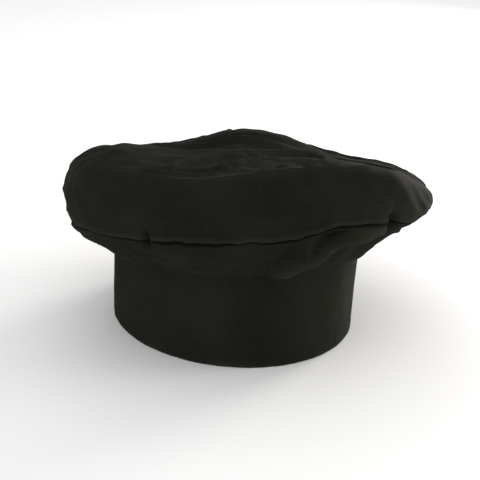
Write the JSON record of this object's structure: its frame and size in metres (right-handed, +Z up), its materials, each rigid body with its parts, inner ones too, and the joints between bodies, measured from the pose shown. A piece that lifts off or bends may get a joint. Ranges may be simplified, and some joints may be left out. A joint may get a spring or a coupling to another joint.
{
  "type": "chef toque",
  "caption": "Black cotton chef hat: a floppy crown of joined panels gathered onto a stiff head band with a hook-and-loop closure at the back.",
  "frame": {"origin": "centre of the head opening, on the plane of the band's lower edge", "axes": "+Z up through the crown, -Y to the front of the hat, +Y to the closure at the back"},
  "size_m": [0.2751, 0.2637, 0.1389],
  "materials": {
    "cloth": "black cotton poplin, matt with a faint sheen",
    "thread": "black polyester sewing thread",
    "tape": "black woven nylon hook and loop",
    "interlining": "white stiff nonwoven",
    "label": "white satin ribbon, blank"
  },
  "bodies": {
    "band": {"band_outer": "cloth", "band_interlining": "interlining", "band_facing": "cloth", "loop_tape": "tape", "care_label": "label", "hem_topstitch": "thread", "crown_topstitch": "thread", "bartack_lower": "thread", "bartack_upper": "thread"},
    "tab": {"tab_outer": "cloth", "tab_interlining": "interlining", "tab_facing": "cloth", "hook_tape": "tape", "tab_topstitch": "thread"},
    "crown_base": {"crown_under_panel": "cloth"},
    "crown_top": {"crown_top_panel": "cloth"}
  },
  "joints": [
    {"name": "tab_peel", "type": "hinge", "parent": "band", "child": "tab", "pos_m": [0.03302, 0.09338, 0.001], "axis": [-0.0987, 0.1069, -0.9894], "range_deg": [0, 110]},
    {"name": "crown_tilt", "type": "hinge", "parent": "band", "child": "crown_base", "pos_m": [0, 0, 0.058], "axis": [0, 1, 0], "range_deg": [-8, 8], "deforming": ["crown_under_panel"]},
    {"name": "crown_press", "type": "slide", "parent": "crown_base", "child": "crown_top", "axis": [0, 0, -1], "range_m": [0, 0.02]}
  ]
}
